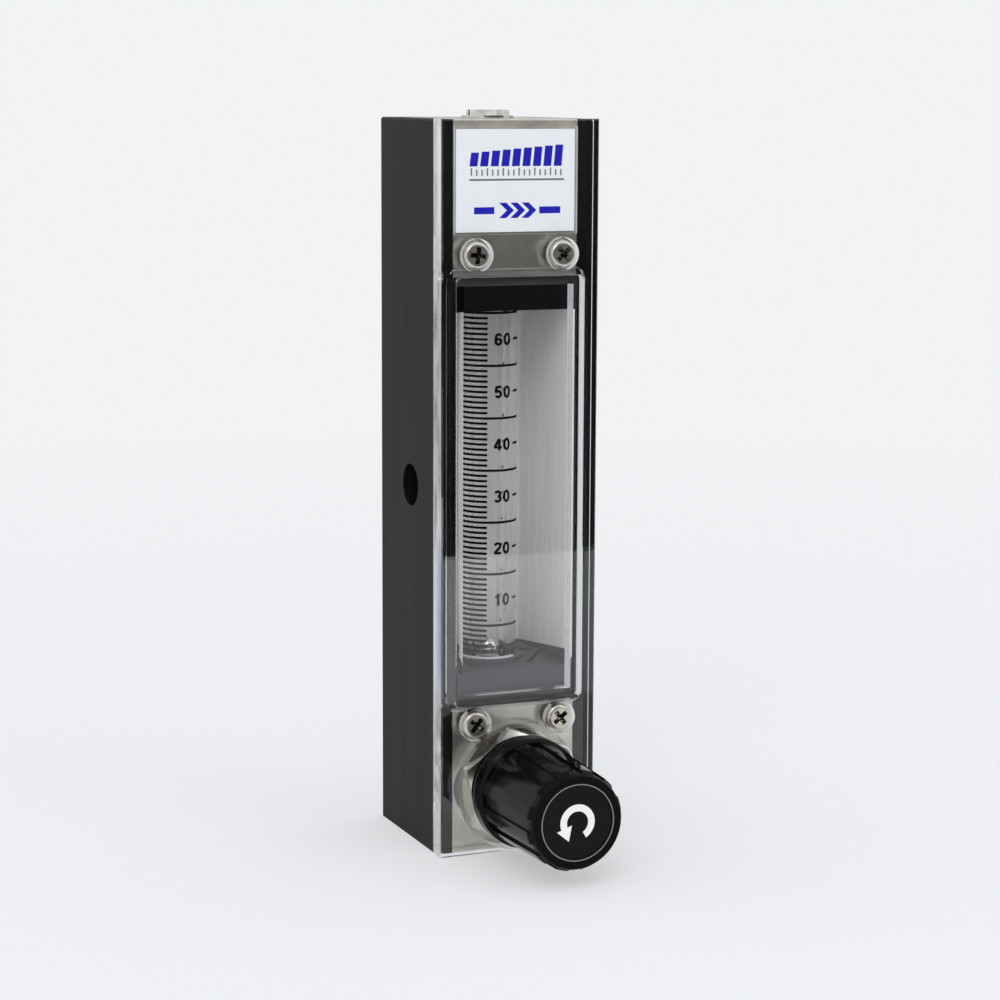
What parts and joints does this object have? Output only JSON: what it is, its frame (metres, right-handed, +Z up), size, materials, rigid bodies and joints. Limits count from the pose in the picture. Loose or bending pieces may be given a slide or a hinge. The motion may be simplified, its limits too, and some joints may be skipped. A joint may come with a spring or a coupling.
{
  "type": "rotameter",
  "caption": "Panel rotameter: glass metering tube with a ball float behind a clear front in a black channel, steel end blocks with rear ports, needle valve with fluted knob",
  "frame": {"origin": "centre of the underside, at half the depth of channel and cover, straight below the tube", "axes": "+X to the viewer's right, +Y towards the rear face with the ports, +Z up along the tube"},
  "size_m": [0.0314, 0.06, 0.1395],
  "materials": {
    "anodised_black": "black anodised, fine vertical grain",
    "clear_acrylic": "clear, polished",
    "clear_tray": "clear, moulded",
    "label_white": "printed film",
    "stainless_block": "machined, brushed",
    "stainless_screw": "bright",
    "valve_steel": "turned",
    "float_steel": "polished ball",
    "black_screw": "black oxide",
    "liner_grey": "satin sheet",
    "seat_grey": "moulded",
    "seat_black": "moulded",
    "tube_glass": "clear, printed",
    "seal_rubber": "moulded",
    "stop_white": "turned",
    "knob_black": "moulded, satin",
    "disc_black": "gloss"
  },
  "bodies": {
    "frame": {"housing_channel": "anodised_black", "front_cover": "clear_acrylic", "window_box": "clear_tray", "label_plate": "label_white", "inlet_block": "stainless_block", "outlet_block": "stainless_block", "cover_screws": "stainless_screw", "body_screws": "black_screw", "back_reflector": "liner_grey", "lower_seat": "seat_grey", "upper_seat": "seat_black", "metering_tube": "tube_glass", "lower_gasket": "seal_rubber", "upper_gasket": "seal_rubber", "inlet_float_stop": "stop_white", "outlet_float_stop": "stop_white", "valve_bonnet": "valve_steel", "bonnet_oring": "seal_rubber", "valve_seat": "valve_steel", "stem_clip": "valve_steel"},
    "float": {"float_ball": "float_steel"},
    "knob_group": {"knob": "knob_black", "knob_disc": "disc_black", "knob_set_screw": "black_screw", "valve_stem": "valve_steel", "stem_oring": "seal_rubber"},
    "needle": {"valve_needle": "valve_steel"},
    "follower": {"spindle_follower": "valve_steel"},
    "spindle": {"spindle_screw": "valve_steel", "spindle_oring": "seal_rubber"}
  },
  "joints": [
    {"name": "knob_turn", "type": "hinge", "parent": "frame", "child": "knob_group", "pos_m": [0, -0.03, 0.0125], "axis": [0, -1, 0], "range_deg": [0, 2340]},
    {"name": "needle_travel", "type": "slide", "parent": "frame", "child": "needle", "axis": [0, -1, 0], "range_m": [0, 0.00413]},
    {"name": "float_rise", "type": "slide", "parent": "frame", "child": "float", "axis": [0, 0, 1], "range_m": [0, 0.065]},
    {"name": "spindle_lift", "type": "slide", "parent": "frame", "child": "follower", "axis": [0, 0, 1], "range_m": [0, 0.004]},
    {"name": "spindle_turn", "type": "hinge", "parent": "follower", "child": "spindle", "pos_m": [0, 0, 0.138], "axis": [0, 0, 1], "range_deg": [0, 1440]}
  ],
  "couplings": [
    {"joint": "needle_travel", "follows": "knob_turn", "m_per_rad": 0.00010106},
    {"joint": "spindle_turn", "follows": "spindle_lift", "rad_per_m": 6283.1}
  ]
}
